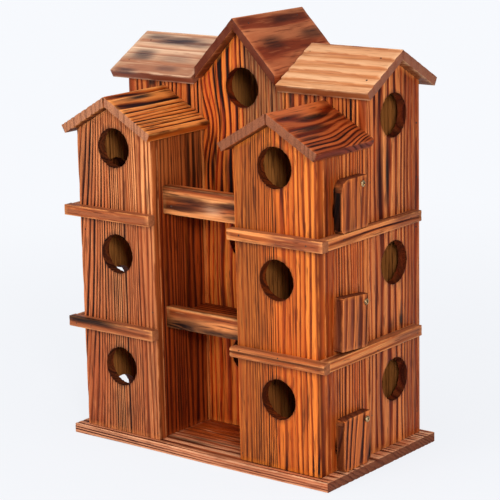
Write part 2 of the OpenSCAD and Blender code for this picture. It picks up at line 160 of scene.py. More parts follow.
def board(name, at, across, along, out, width, grain, ends, thick=BOARD, edge=0.8,
          pitch=1.15, step=6.0, skew=(0.0, 0.0), depth=0.5, mould=None, holes=(), spots=(), marks=None, tone=0.0,
          calm=0.0):
    """A plank as a closed surface: its cross-section carried along the grain from one
    end to the other, with the ring grooves cut into it and round holes bored through.
    ends(u, t) gives both ends' places along the grain; lengths are in mm."""
    at, across, along, out = (np.asarray(v, float) for v in (at, across, along, out))
    u, t, nu, nt, faces, sides, rears = section_loop(width, thick, edge, pitch, skew)
    low, high = ends(u, t)
    low, high = low + 0 * u, high + 0 * u
    rows = max(3, int(round(np.max(high - low) / step)))
    tip = min(edge, 0.8)
    near = np.array([0.0, 0.3, 1.0]) * tip
    inset_near = np.array([1.0, 0.29, 0.0]) * tip
    inner = np.linspace(0, 1, rows + 1)[1:-1]
    w = np.vstack([low + d for d in near]
                  + [low + tip + f * (high - low - 2 * tip) for f in inner]
                  + [high - d for d in near[::-1]])
    inset = np.concatenate([inset_near, 0 * inner, inset_near[::-1]])[:, None]
    count = rings(u[None, :], w, t[None, :], grain)
    step_u = np.abs(np.roll(count, -1, 1) - count)
    fade = np.clip((0.42 - step_u) / 0.2, 0.0, 1.0)
    cut = depth * groove(count) * fade
    if mould is not None:
        cut = cut + mould(u, w) * np.clip(nt, 0.0, 1.0)
    shift = cut + inset
    uu = u[None, :] - nu * shift
    tt = t[None, :] - nt * shift
    points = at + uu[..., None] * across + w[..., None] * along + tt[..., None] * out
    nr, nc = w.shape
    index = np.arange(nr * nc).reshape(nr, nc)
    nxt = np.roll(index, -1, 1)
    quads = np.stack([index[:-1], nxt[:-1], nxt[1:], index[1:]], -1).reshape(-1, 4)
    front = np.arange(faces)
    rear = faces + sides + np.arange(rears)[::-1]
    caps = []
    for row, turn in ((0, 1), (nr - 1, -1)):
        if faces != rears:
            caps.append(list((np.arange(nc) + row * nc)[::-turn]))
            continue
        cap = np.stack([front[:-1], rear[:-1], rear[1:], front[1:]], -1)[:, ::turn] + row * nc
        quads = np.vstack([quads, cap])
        right = np.arange(faces - 1, faces + sides + 1)
        left = np.append(np.arange(faces + sides + rears - 1, nc), 0)
        caps += [list((g + row * nc)[::-turn]) for g in (right, left)]
    if np.dot(np.cross(across, along), out) < 0:
        quads = quads[:, ::-1]
        caps = [c[::-1] for c in caps]
    mesh = bpy.data.meshes.new(name)
    mesh.from_pydata((points.reshape(-1, 3) * MM).tolist(), [], quads.tolist() + caps)
    piece = bpy.data.objects.new(name, mesh)
    bpy.context.scene.collection.objects.link(piece)
    if holes:
        bore(piece, [(at + hu * across + hw * along - thick / 2 * out, out, r) for hu, hw, r in holes], thick)
    mesh = piece.data
    co = np.empty(len(mesh.vertices) * 3)
    mesh.vertices.foreach_get("co", co)
    local = co.reshape(-1, 3) / MM - at
    u, w, t = local @ across, local @ along, local @ out
    low, high = ends(u, t)
    skin = np.minimum(np.abs(t), np.abs(t + thick))
    left, right = -t * skew[0], width - t * skew[1]
    lip = np.minimum(np.abs(u - left), np.abs(right - u))
    lip = np.minimum(lip, np.minimum(np.abs(w - low), np.abs(high - w)))
    scorch = blots(u, w, t, spots, thick)
    for hu, hw, r in holes:
        scorch = np.maximum(scorch, 0.5 * np.exp(-((np.hypot(u - hu, w - hw) - r) / 0.9) ** 2) * (t > -0.6 * thick))
    if marks is not None:
        scorch = np.maximum(scorch, marks(u, w, t))
    # rim: 1 at every edge; the finish lightens it there, partly as rubbed wear and partly as painted highlight.
    fields = {"ring": rings(u, w, t, grain), "scorch": scorch, "rim": np.exp(-(np.hypot(lip, skin) / 1.1) ** 2),
              "tone": (tone(u, w) if callable(tone) else tone) + 0 * u,
              "calm": (calm(u, w) if callable(calm) else calm) + 0 * u}
    for key, value in fields.items():
        mesh.attributes.new(key, "FLOAT", "POINT").data.foreach_set("value", value.astype(np.float32))
    place = np.stack([u, t, w], -1) * MM + grain["seed"] * 0.37
    mesh.attributes.new("place", "FLOAT_VECTOR", "POINT").data.foreach_set("vector", place.astype(np.float32).ravel())
    count = len(mesh.polygons)
    normal, centre = np.empty(count * 3), np.empty(count * 3)
    mesh.polygons.foreach_get("normal", normal)
    mesh.polygons.foreach_get("center", centre)
    normal, centre = normal.reshape(-1, 3), centre.reshape(-1, 3) / MM - at
    fu, fw = centre @ across, centre @ along
    bored = np.zeros(count)
    for hu, hw, r in holes:
        bored = np.maximum(bored, (np.hypot(fu - hu, fw - hw) < r + 0.2) & (np.abs(normal @ out) < 0.5))
    cuts = {"sawn": (np.abs(normal @ along) > 0.72) * (1 - bored), "bored": bored,
            "raw": (normal @ out < -0.72) * 1.0, "side": (np.abs(normal @ across) > 0.72) * (1 - bored)}
    for key, value in cuts.items():
        mesh.attributes.new(key, "FLOAT", "FACE").data.foreach_set("value", value.astype(np.float32))
    mesh.shade_smooth()
    mesh.set_sharp_from_angle(angle=math.radians(42))
    return piece


def bore(piece, places, thick):
    """Bores round holes: cylinders of 96 sides, cut out of the piece exactly. The saw
    leaves each wall ragged, up to 0.7 mm short of the full radius."""
    rng = np.random.default_rng(len(places))
    angle = np.linspace(0, 2 * np.pi, 97)[:-1]
    points, faces = [], []
    for centre, axis, radius in places:
        side = np.cross(axis, [0.31, 0.52, 0.79])
        side = side / np.linalg.norm(side)
        other = np.cross(axis, side)
        rim = np.cos(angle)[:, None] * side + np.sin(angle)[:, None] * other
        ragged = radius - 0.7 * rng.uniform(0, 1, 96) ** 2
        base = len(points)
        for end in (-1, 1):
            points += (centre + ragged[:, None] * rim + end * thick * axis).tolist()
        i = np.arange(96)
        j = (i + 1) % 96
        faces += (np.stack([i, j, j + 96, i + 96], -1) + base).tolist()
        faces += [(i[::-1] + base).tolist(), (i + 96 + base).tolist()]
    mesh = bpy.data.meshes.new("bore")
    mesh.from_pydata((np.array(points) * MM).tolist(), [], faces)
    cutter = bpy.data.objects.new("bore", mesh)
    bpy.context.scene.collection.objects.link(cutter)
    cut = piece.modifiers.new("bore", "BOOLEAN")
    cut.operation = "DIFFERENCE"
    cut.solver = "EXACT"
    cut.object = cutter
    shaped = bpy.data.meshes.new_from_object(piece.evaluated_get(bpy.context.evaluated_depsgraph_get()))
    piece.modifiers.clear()
    piece.data = shaped
    shaped.name = piece.name
    bpy.data.objects.remove(cutter)


def linear(code):
    """A colour written as in a web page, turned into Blender's linear values."""
    parts = [int(code[i:i + 2], 16) / 255 for i in (1, 3, 5)]
    return [c / 12.92 if c <= 0.04045 else ((c + 0.055) / 1.055) ** 2.4 for c in parts] + [1.0]


class Nodes:
    """Short ways to add and join shader nodes in one tree."""

    def __init__(self, tree):
        self.tree = tree

    def add(self, kind, **settings):
        node = self.tree.nodes.new("ShaderNode" + kind)
        for key, value in settings.items():
            setattr(node, key, value)
        return node

    def join(self, source, target):
        self.tree.links.new(source, target)

    def put(self, socket, value):
        if isinstance(value, bpy.types.NodeSocket):
            self.join(value, socket)
        else:
            socket.default_value = value

    def math(self, operation, *values):
        node = self.add("Math", operation=operation)
        for socket, value in zip(node.inputs, values):
            self.put(socket, value)
        return node.outputs[0]

    def span(self, value, low, high, to_low=0.0, to_high=1.0, smooth=True):
        node = self.add("MapRange", interpolation_type="SMOOTHSTEP" if smooth else "LINEAR")
        for key, v in zip(("Value", "From Min", "From Max", "To Min", "To Max"), (value, low, high, to_low, to_high)):
            self.put(node.inputs[key], v)
        return node.outputs["Result"]

    def mix(self, factor, a, b, blend="MIX"):
        node = self.add("Mix", data_type="RGBA", blend_type=blend)
        self.put(node.inputs["Factor"], factor)
        self.put(node.inputs[6], a)
        self.put(node.inputs[7], b)
        return node.outputs[2]

    def noise(self, vector, scale, detail=2.0, stretch=(1.0, 1.0, 1.0)):
        scaled = self.add("VectorMath", operation="MULTIPLY")
        self.put(scaled.inputs[0], vector)
        scaled.inputs[1].default_value = stretch
        node = self.add("TexNoise")
        self.join(scaled.outputs[0], node.inputs["Vector"])
        node.inputs["Scale"].default_value = scale
        node.inputs["Detail"].default_value = detail
        return node.outputs["Fac"]


def fir_group():
    """Scorched, brushed fir: light ridges, a dark line in each ring that comes on slowly
    and ends sharply with a painted highlight along its sharp side, streaks that follow
    the rings, soot in soft clouds, charred places, edges lightened partly by rubbing and
    partly as painted highlight, and the browner look of sides, sawn ends, bored holes
    and raw backs."""
    tree = bpy.data.node_groups.new("scorched_fir", "ShaderNodeTree")
    n = Nodes(tree)
    ports = {}
    source = tree.nodes.new("NodeGroupInput")
    for name, kind in (("Ring", "Float"), ("Place", "Vector"), ("Scorch", "Float"), ("Tone", "Float"),
                       ("Calm", "Float"), ("Rim", "Float"),
                       ("Sawn", "Float"), ("Bored", "Float"), ("Raw", "Float"), ("Side", "Float"), ("Light", "Color"),
                       ("Middle", "Color"), ("Dark", "Color"), ("Char", "Color"), ("Pale", "Color"), ("End", "Color"),
                       ("Edge", "Color"), ("Inside", "Color"), ("Line Width", "Float"), ("Line Strength", "Float"),
                       ("Soot", "Float"), ("Side Stain", "Float"), ("Contrast", "Float")):
        tree.interface.new_socket(name, in_out="INPUT", socket_type="NodeSocket" + kind)
        ports[name] = source.outputs[name]
    for name, kind in (("Color", "Color"), ("Roughness", "Float"), ("Height", "Float")):
        tree.interface.new_socket(name, in_out="OUTPUT", socket_type="NodeSocket" + kind)
    place = ports["Place"]
    split = n.add("SeparateXYZ")
    n.join(place, split.inputs[0])
    wobble = n.noise(place, 45.0, 2.0, (1.0, 1.0, 0.14))
    count = n.math("ADD", ports["Ring"], n.math("MULTIPLY", n.math("SUBTRACT", wobble, 0.5), 0.5))
    centred = n.math("SUBTRACT", count, LINE - 0.5)
    signed = n.math("SUBTRACT", n.math("FRACT", centred), 0.5)
    far = n.math("ABSOLUTE", signed)
    luck = n.add("TexWhiteNoise", noise_dimensions="1D")
    n.join(n.math("FLOOR", centred), luck.inputs["W"])
    ridge_luck = n.add("TexWhiteNoise", noise_dimensions="1D")
    n.join(n.math("ADD", n.math("FLOOR", n.math("SUBTRACT", count, LINE)), 31.7), ridge_luck.inputs["W"])
    flow = n.add("CombineXYZ")
    n.join(n.math("MULTIPLY", count, 1.9), flow.inputs[0])
    n.join(n.math("MULTIPLY", split.outputs[2], 9.0), flow.inputs[1])
    n.join(n.math("MULTIPLY", split.outputs[1], 30.0), flow.inputs[2])
    streak = n.noise(flow.outputs[0], 1.0, 3.0)
    fine = n.noise(flow.outputs[0], 6.0, 3.0, (1.0, 0.5, 1.0))
    patch = n.noise(place, 15.0, 2.0, (1.0, 1.0, 0.2))
    cloud = n.noise(place, 9.0, 3.0, (1.0, 1.0, 0.4))
    tint = n.noise(place, 24.0, 2.0, (1.0, 1.0, 0.22))
    speck = n.noise(place, 700.0, 2.0)
    half = n.math("MULTIPLY", n.math("MULTIPLY", ports["Line Width"], 0.5),
                  n.span(luck.outputs["Value"], 0.0, 1.0, 0.5, 1.45, False))
    rise = n.span(signed, n.math("MAXIMUM", n.math("MULTIPLY", half, -1.3), -0.48), n.math("MULTIPLY", half, -0.25))
    fall = n.span(signed, n.math("MULTIPLY", half, 0.8), n.math("MULTIPLY", half, 0.35))
    line = n.math("MULTIPLY", rise, fall)
    force = n.math("MULTIPLY", n.span(luck.outputs["Value"], 0.0, 1.0, 0.5, 1.15, False),
                   n.span(patch, 0.32, 0.68, 0.6, 1.25))
    force = n.math("MULTIPLY", n.math("MULTIPLY", force, n.span(streak, 0.3, 0.62, 0.4, 1.15)),
                   ports["Line Strength"])
    force = n.math("MULTIPLY", force, n.math("SUBTRACT", 1.0, n.math("MULTIPLY", ports["Raw"], 0.7)))
    force = n.math("MULTIPLY", force, n.span(ports["Calm"], 0.0, 1.0, 1.0, 0.15, False))
    line = n.math("MULTIPLY", line, force)
    crest = n.span(far, 0.1, 0.36)
    lift = n.math("MULTIPLY", crest, n.span(n.math("ADD", n.math("MULTIPLY", ridge_luck.outputs["Value"], 0.5),
                                                   n.math("MULTIPLY", cloud, 0.5)), 0.2, 0.75, 0.35, 1.0))
    # Painted highlight: a thin bright band just past the sharp side of each dark line, as if the ridge's edge caught
    # the light.
    painted_glint = n.math("MULTIPLY", n.span(signed, n.math("MULTIPLY", half, 0.75), n.math("ADD", half, 0.04)),
                   n.span(signed, n.math("ADD", half, 0.24), n.math("ADD", half, 0.08)))
    lift = n.math("MAXIMUM", lift, n.math("MULTIPLY", painted_glint, n.span(patch, 0.35, 0.6, 0.25, 1.0)))
    body = n.mix(lift, ports["Middle"], ports["Light"])
    pale = n.mix(n.span(crest, 0.0, 1.0, 0.35, 0.0), ports["Pale"], ports["Middle"])
    body = n.mix(ports["Tone"], body, pale)
    body = n.mix(n.span(tint, 0.42, 0.62, 0.0, 0.3), body, n.mix(1.0, body, (1.0, 0.74, 0.55, 1.0), "MULTIPLY"))
    body = n.mix(ports["Raw"], body, ports["Inside"])
    body = n.mix(n.span(streak, 0.52, 0.72, 0.0, 0.5), body, ports["Dark"])
    body = n.mix(n.span(fine, 0.5, 0.75, 0.0, 0.4), body, ports["Dark"])
    fleck = n.noise(place, 420.0, 2.0, (1.0, 1.0, 0.07))
    body = n.mix(n.span(fleck, 0.58, 0.7, 0.0, 0.6), body, ports["Dark"])
    body = n.mix(n.span(fleck, 0.42, 0.3, 0.0, 0.35), body, ports["Light"])
    colour = n.mix(n.math("MINIMUM", line, 1.0), body, ports["Dark"])
    colour = n.mix(n.span(line, 1.1, 1.5, 0.0, 0.75), colour, ports["Char"])
    colour = n.mix(n.math("MULTIPLY", n.span(cloud, 0.46, 0.68), ports["Soot"]), colour,
                   n.mix(1.0, colour, (0.46, 0.32, 0.27, 1.0), "MULTIPLY"))
    side = n.mix(n.math("MULTIPLY", n.math("MINIMUM", line, 1.0), 0.6), n.mix(n.span(streak, 0.35, 0.7, 0.0, 0.6),
                 ports["Edge"], ports["Dark"]), ports["Dark"])
    colour = n.mix(n.math("MULTIPLY", ports["Side"], ports["Side Stain"]), colour, side)
    # Edges go toward Light: partly rubbed wear, partly a painted highlight on the rounded edges.
    colour = n.mix(n.math("MULTIPLY", ports["Rim"], n.span(n.noise(place, 90.0, 3.0, (1.0, 1.0, 0.4)), 0.32, 0.6,
                                                           0.0, 0.75)),
                   colour, ports["Light"])
    end = n.mix(n.span(speck, 0.35, 0.7), ports["End"], n.mix(0.28, ports["End"], ports["Dark"]))
    end = n.mix(n.math("MULTIPLY", n.math("MINIMUM", line, 1.0), 0.25), end, ports["Dark"])
    colour = n.mix(n.math("MULTIPLY", ports["Sawn"], 0.9), colour, end)
    hollow = n.mix(n.span(streak, 0.3, 0.7, 0.45, 0.9), ports["Middle"], ports["Dark"])
    hollow = n.mix(n.span(speck, 0.4, 0.7, 0.0, 0.4), hollow, ports["Char"])
    colour = n.mix(n.math("MULTIPLY", ports["Bored"], 0.9), colour, hollow)
    blot = n.math("MULTIPLY", ports["Scorch"], n.span(fine, 0.25, 0.75, 1.15, 0.7))
    colour = n.mix(n.math("MINIMUM", blot, 1.0), colour, ports["Char"])
    deep = n.add("Gamma")
    n.join(colour, deep.inputs["Color"])
    n.join(ports["Contrast"], deep.inputs["Gamma"])
    rough = n.math("ADD", 0.37, n.math("MULTIPLY", n.math("MINIMUM", line, 1.0), 0.25))
    rough = n.math("ADD", rough, n.math("MULTIPLY", fine, 0.12))
    rough = n.math("MAXIMUM", rough, n.math("MULTIPLY", n.math("MAXIMUM", ports["Sawn"], ports["Bored"]), 0.72))
    height = n.math("SUBTRACT", n.math("MULTIPLY", fine, -0.45),
                    n.math("MULTIPLY", n.math("MINIMUM", line, 1.0), 1.0))
    height = n.math("ADD", height, n.math("MULTIPLY", n.math("MULTIPLY", speck,
        n.math("MAXIMUM", ports["Sawn"], ports["Bored"])), 0.9))
    sink = tree.nodes.new("NodeGroupOutput")
    n.join(deep.outputs[0], sink.inputs["Color"])
    n.join(rough, sink.inputs["Roughness"])
    n.join(height, sink.inputs["Height"])
    return tree


FIR = fir_group()


def fir(name, light, middle, dark, pale="#a8622f", char="#150906", end="#7c4228", inside="#c6864a", edge=None,
        line=0.5, strength=0.9, soot=0.35, stain=0.85, contrast=1.18, field=None):
    """A finish of scorched fir. Boards made here bring their fields with them; field
    gives (centre, axis along the grain, ring width) for a plain board of the frame."""
    mat = bpy.data.materials.new(name)
    mat.use_nodes = True
    n = Nodes(mat.node_tree)
    shader = mat.node_tree.nodes["Principled BSDF"]
    group = n.add("Group", node_tree=FIR)
    if field is None:
        for key in ("ring", "scorch", "tone", "calm", "rim", "sawn", "bored", "raw", "side"):
            n.join(n.add("Attribute", attribute_name=key).outputs["Fac"], group.inputs[key.capitalize()])
        n.join(n.add("Attribute", attribute_name="place").outputs["Vector"], group.inputs["Place"])
    else:
        centre, axis, ring = field
        mapping = n.add("Mapping")
        mapping.inputs["Location"].default_value = [-c * MM for c in centre]
        n.join(n.add("TexCoord").outputs["Object"], mapping.inputs["Vector"])
        split = n.add("SeparateXYZ")
        n.join(mapping.outputs["Vector"], split.inputs[0])
        order = {"X": (1, 2, 0), "Y": (0, 2, 1), "Z": (0, 1, 2)}[axis]
        placed = n.add("CombineXYZ")
        for k, source in enumerate(order):
            n.join(split.outputs[source], placed.inputs[k])
        n.join(placed.outputs[0], group.inputs["Place"])
        far = n.math("SQRT", n.math("ADD", n.math("POWER", split.outputs[order[0]], 2.0),
                                    n.math("POWER", split.outputs[order[1]], 2.0)))
        n.join(n.math("DIVIDE", far, ring * MM), group.inputs["Ring"])
        group.inputs["Raw"].default_value = 1.0
    for key, value in (("Light", light), ("Middle", middle), ("Dark", dark), ("Pale", pale), ("Char", char),
                       ("End", end), ("Inside", inside), ("Edge", edge or middle)):
        group.inputs[key].default_value = linear(value)
    group.inputs["Line Width"].default_value = line
    group.inputs["Line Strength"].default_value = strength
    group.inputs["Soot"].default_value = soot
    group.inputs["Side Stain"].default_value = stain
    group.inputs["Contrast"].default_value = contrast
    bump = n.add("Bump")
    bump.inputs["Distance"].default_value = 0.0006
    bump.inputs["Strength"].default_value = 1.0
    n.join(group.outputs["Height"], bump.inputs["Height"])
    n.join(bump.outputs["Normal"], shader.inputs["Normal"])
    n.join(group.outputs["Color"], shader.inputs["Base Color"])
    n.join(group.outputs["Roughness"], shader.inputs["Roughness"])
    shader.inputs["Specular IOR Level"].default_value = 0.14
    shader.inputs["Coat Weight"].default_value = 0.04
    shader.inputs["Coat Roughness"].default_value = 0.22
    return mat


def finish(piece, node, finish_mat, body="house"):
    """Puts a made board in place of its node of the frame."""
    piece.data.materials.append(finish_mat)
    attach(piece, body)
    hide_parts(node)


def ramp(value, start, stop):
    """0 at start and 1 at stop, with a smooth step between."""
    x = np.clip((value - start) / (stop - start), 0.0, 1.0)
    return x * x * (3 - 2 * x)


# pale: a darker orange brown, used only as painted shade on the recess floor.
BASE_FIR = fir("base_fir", "#ffc69c", "#c26c42", "#3c0c03", pale="#b85a22", edge="#bc6c44", end="#8a4e34",
               line=0.42, strength=1.0, soot=0.35, stain=0.25)
base = board("base_plank", (-195.5, FRONT - 9, 12), Y, X, Z, 223.0,
             {"spacing": ((0, 6), (9, 9), (30, 10), (50, 13), (110, 15), (140, 8), (223, 7)), "slant": 1.5,
              "seed": 3, "sway": 4.0},
             lambda u, t: (0.0, 391.0), step=8.0,
             spots=((27, 165, 4, 36, 0.8), (42, 190, 3, 50, 0.7)),
             # tone: from 30 mm behind its front, the floor of the recess between the towers is painted a darker, more
             # orange brown, as painted shade of the recess.
             tone=lambda u, w: ramp(u, 30, 60) * ramp(np.abs(w - 195.5), 75, 60),
             calm=lambda u, w: 0.5 * ramp(np.abs(w - 195.5), 75, 60))
finish(base, "base_board", BASE_FIR)

# --- Tower fronts -----------------------------------------------------------
# A tall plank with a gable top closes each tower. The right one is fine-grained and
# tan at its inner edge, with broad orange rings outside; the left one is pinker, with
# broad rings that lean at its outer edge.

TOWER_TOP = 431.5 - 11 / math.cos(math.radians(29.5))


def tower_under(x):
    """Height of a tower roof's underside at x, on either side."""
    return TOWER_TOP - np.abs(np.abs(x) - X_RIDGE) * tan(29.5)


RIGHT_FIR = fir("right_tower_fir", "#fb9c48", "#c05a18", "#3a0800", pale="#b0682e", line=0.44, strength=1.25,
                soot=0.25)
LEFT_FIR = fir("left_tower_fir", "#ffb276", "#b05c2c", "#340802", pale="#cc7446", line=0.46, strength=1.0, soot=0.4)
FRONTS = {
    1: {"spacing": ((0, 7), (22, 5), (32, 3.4), (58, 3.4), (66, 8), (118, 9)), "seed": 11, "sway": 1.2},
    -1: {"spacing": ((0, 6), (34, 7), (44, 3.6), (92, 3.8), (100, 6), (118, 6)), "seed": 23, "sway": 1.6,
         "bend": lambda u, w: -0.11 * np.mod(w - 2, 140.5) * ramp(u, 60, 10)},
}
FRONT_TONE = {
    1: lambda u, w: 0.85 * ramp(u, 62, 30) + 0.2 * ramp(w, 60, 20) * ramp(u, 118, 60),
    -1: lambda u, w: 0.7 * ramp(u, 62, 22) * (1 - 0.5 * ramp(w, 300, 350)) + 0.55 * ramp(w, 300, 270) * ramp(u, 60,
        90),
}


def painted_strip_shadow(u, w, t):
    """Painted shadow under the two trim strips across a front, laid into the scorch field."""
    return 0.45 * (t > -4) * (np.exp(-((w - 137) / 4.0) ** 2) + np.exp(-((w - 278) / 4.0) ** 2))


FRONT_CALM = {
    1: lambda u, w: 0.6 * ramp(u, 60, 70) * ramp(w, 20, 45) + 0.5 * ramp(u, 34, 20),
    -1: lambda u, w: 0.15 * ramp(u, 88, 104) + 0.55 * ramp(u, 46, 32) * ramp(w, 100, 82),
}
for side, word in ((1, "right"), (-1, "left")):
    start = X_TOWER if side > 0 else -X_OUT
    front = board(f"{word}_tower_plank", (start, FRONT, 0), X, Z, -Y, 118.0, FRONTS[side],
                  lambda u, t, start=start: (12.0, tower_under(u + start)),
                  holes=[(X_RIDGE * side - start, z, 24.5) for z in (96.0, 237.5, 367.5)],
                  spots=((52, 196, 12, 16, 0.35), (70, 32, 22, 22, 0.32), (70, 270, 10, 9, 0.3),
                         (12, 345, 12, 42, 0.3)) if side < 0 else
                  ((40, 178, 5, 16, 0.3), (60, 305, 3, 18, 0.35), (20, 310, 4, 26, 0.3)),
                  # marks: painted shadow under both trim strips, on both fronts.
                  marks=painted_strip_shadow if side > 0 else lambda u, w,
                  t: np.maximum(painted_strip_shadow(u, w, t), 0.16 * ramp(w, 300, 270) * ramp(u, 54, 72) * (t > -4)),
                  tone=FRONT_TONE[side], calm=FRONT_CALM[side])
    finish(front, f"{word}_tower_front", RIGHT_FIR if side > 0 else LEFT_FIR)

# --- Tower side walls -------------------------------------------------------
# The outer walls have a round clean-out hole at each storey. The inner ones close the
# recess between the towers, and were charred in upright bands.

OUTER_FIR = fir("outer_fir", "#fba45c", "#bf581e", "#340601", pale="#a24a14", line=0.46, strength=1.05, soot=0.4)
# pale on the inner walls: a lighter brown, used only as painted light on their upper part.
INNER_FIR = fir("inner_fir", "#c0622a", "#7c3012", "#320801", pale="#cc7c44", line=0.5, strength=0.5, soot=0.5)
for side, word in ((1, "right"), (-1, "left")):
    outer = board(f"{word}_tower_outer_plank", (X_OUT * side, FRONT + BOARD, 0), Y, Z, X * side, 85.0,
                  {"spacing": ((0, 9), (14, 9), (26, 6), (60, 5.2), (85, 7.5)), "seed": 31 + side, "sway": 2.0},
                  lambda u, t: (12.0, tower_under(X_OUT + t)),
                  holes=[(41.5, z, 24.5) for z in (40.0, 182.0, 319.0)],
                  tone=lambda u, w: 0.8 * ramp(u, 34, 8),
                  calm=lambda u, w: 0.7 * ramp(u, 34, 20) + 0.55 * ramp(u, 28, 44) * ramp(w, 190, 215) * ramp(w,
                      290, 262))
    finish(outer, f"{word}_tower_outer_wall", OUTER_FIR)
    inner = board(f"{word}_tower_inner_plank", (X_INNER * side, FRONT + BOARD, 0), Y, Z, -X * side, 85.0,
                  {"spacing": ((0, 6), (40, 5), (60, 9), (85, 10)), "seed": 41 + side, "sway": 2.0},
                  lambda u, t: (12.0, tower_under(X_INNER - t)),
                  spots=((60, 345, 2.4, 50, 0.9), (70, 340, 2.6, 60, 0.8), (80, 350, 2.0, 40, 0.8),
                         (30, 60, 4, 60, 0.4), (52, 215, 3, 70, 0.5), (12, 200, 3, 60, 0.4)),
                  # tone: from 290 mm up, the inner walls are painted paler, as painted light at the top of the recess.
                  tone=lambda u, w: 0.8 * ramp(w, 290, 350))
    finish(inner, f"{word}_tower_inner_wall", INNER_FIR)

# --- Back block -------------------------------------------------------------
# Planks stand side by side across the front and the back of the block; its side walls
# and its centre planks run up into gables, with an entrance at each storey. The centre
# front plank has a knot below its gable, and its rings part round it like flames.

SIDE_TOP = 431.5 + 5.9 + 11 * math.cos(math.radians(29.7)) + 72 * tan(29.7)


def side_under(y):
    """Height of a side roof's underside at y."""
    return SIDE_TOP - 11 / math.cos(math.radians(29.7)) - np.abs(y - Y_RIDGE) * tan(29.7)


def centre_under(x):
    """Height of the centre roof's underside at x."""
    return SIDE_TOP + 33 - 9.5 / math.cos(math.radians(46)) - np.abs(x) * tan(46)


CENTRE_FIR = fir("centre_fir", "#ffa450", "#d85412", "#260401", pale="#ae7c52", line=0.45, strength=1.1, soot=0.35)
SIDE_FIR = fir("side_fir", "#ffac68", "#b65424", "#420802", pale="#984a24", line=0.44, strength=0.95, soot=0.4)
BACK_FIR = fir("back_fir", "#ee9c58", "#b5622c", "#3c0e04", line=0.42, strength=0.9, soot=0.4)
centre = board("centre_front_plank", (-X_PART, MID, 0), X, Z, -Y, 124.0,
               {"spacing": ((0, 9), (40, 10), (62, 7), (74, 4.6), (124, 4.6)), "seed": 53, "sway": 3.0,
                "knots": ((10, 388, 24, 34, -1.7), (40, 190, 30, 60, 0.5))},
               lambda u, t: (12.0, centre_under(u - X_PART)),
               holes=[(X_PART, z, 24.5) for z in (106.0, 250.0, 436.5)],
               spots=((19, 358, 2.6, 18, 1.0), (14.5, 330, 3.4, 24, 1.0), (22, 432, 2.0, 24, 0.8),
                      (29, 395, 2.2, 14, 0.7), (36, 338, 2.0, 22, 0.6)),
               tone=lambda u, w: 0.95 * ramp(u, 60, 72) * ramp(w, 340, 390), calm=lambda u,
               w: 0.6 * ramp(w, 292, 250))
finish(centre, "centre_front", CENTRE_FIR)
back = board("centre_back_plank", (-X_PART, BACK, 0), X, Z, Y, 124.0,
             {"heart": (64.0, 30.0), "pitch": 6.0, "seed": 59, "sway": 8.0},
             lambda u, t: (12.0, centre_under(u - X_PART)), pitch=1.5)
finish(back, "centre_back", BACK_FIR)
for side, word in ((1, "right"), (-1, "left")):
    start = X_PART if side > 0 else -X_OUT + BOARD
    fore = board(f"{word}_block_front_plank", (start, MID, 0), X, Z, -Y, 106.0,
                 {"spacing": ((0, 9), (40, 8), (106, 7)), "seed": 61 + side},
                 lambda u, t: (12.0, side_under(MID - t)),
                 spots=((10, 430, 3.0, 20, 0.9), (33, 431, 3.0, 5, 1.0), (46, 436, 2.0, 20, 0.6)) if side > 0 else
                 ((26, 434, 5.0, 6, 1.0), (41, 431, 2.6, 5, 0.9)))
    finish(fore, f"{word}_block_front", OUTER_FIR)
    rear = board(f"{word}_block_back_plank", (start, BACK, 0), X, Z, Y, 106.0,
                 {"spacing": ((0, 6), (50, 8), (106, 6)), "seed": 67 + side},
                 lambda u, t: (12.0, side_under(BACK + t)), pitch=1.5)
    finish(rear, f"{word}_block_back", BACK_FIR)
    wall = board(f"{word}_side_plank", (X_OUT * side, MID, 0), Y, Z, X * side, 108.0,
                 {"spacing": ((0, 8), (30, 12), (60, 13), (80, 8), (108, 9)), "seed": 71 + side, "sway": 3.0},
                 lambda u, t: (12.0, side_under(u + MID)),
                 holes=[(54.0, z, 26.5) for z in (93.0, 236.0, 411.0)],
                 spots=((41, 342, 3.6, 34, 1.0), (29, 350, 3.0, 40, 0.6), (68, 163, 4.5, 10, 1.0),
                        (69, 177, 3.0, 10, 0.5), (48, 160, 5.0, 8, 0.55), (20, 338, 2.0, 50, 0.5)),
                 tone=lambda u, w: 0.6 * ramp(u, 66, 84), calm=lambda u,
                 w: 0.4 * ramp(u, 24, 40) + 0.3 * ramp(u, 76, 90))
    finish(wall, f"{word}_side_wall", SIDE_FIR)

# --- Shelves in the recess --------------------------------------------------
# Two short shelves between the towers, each behind a front board that was torched
# in broad bands along the grain.

# pale: a light cream, used only as a painted highlight on the upper shelf's front.
SHELF_FIR = fir("shelf_fir", "#ffba7c", "#be6834", "#3a140a", pale="#ffdcb8", char="#220a05", line=0.5,
                strength=0.35, soot=0.3)
for word, top, tall, seed in (("lower", 163.5, 26.0, 83), ("upper", 304.0, 34.0, 89)):
    apron = board(f"{word}_shelf_face", (-X_INNER, FRONT + 22, top - BOARD - 2), Z, X, -Y, tall,
                  {"spacing": ((0, 15), (34, 17)), "seed": seed, "sway": 3.0}, lambda u, t: (0.0, 130.0),
                  spots=((4, 22, 9, 40, 1.0), (2, 74, 6, 44, 0.95), (0, 112, 7, 30, 0.9),
                         (25.5, 60, 1.2, 90, 0.6)) if word == "lower" else
                  ((21, 34, 4.5, 34, 0.85), (9, 28, 3.5, 30, 0.7), (19, 106, 4.0, 24, 0.85),
                   (33, 60, 1.5, 90, 0.7), (6, 112, 3, 20, 0.6)),
                  # tone: a painted highlight, a round cream spot on the middle of the upper front.
                  tone=lambda u, w, k=(word == "upper"): 0.8 * k * np.exp(-((u - 13) / 6) ** 2 - ((w - 76) / 15) ** 2))
    finish(apron, f"{word}_shelf_front", SHELF_FIR)
    shelf = board(f"{word}_shelf_plank", (-X_INNER, FRONT + 34, top), Y, X, Z, 63.0,
                  {"spacing": ((0, 7), (63, 8)), "seed": seed + 1}, lambda u, t: (0.0, 130.0))
    finish(shelf, f"{word}_shelf", INNER_FIR)
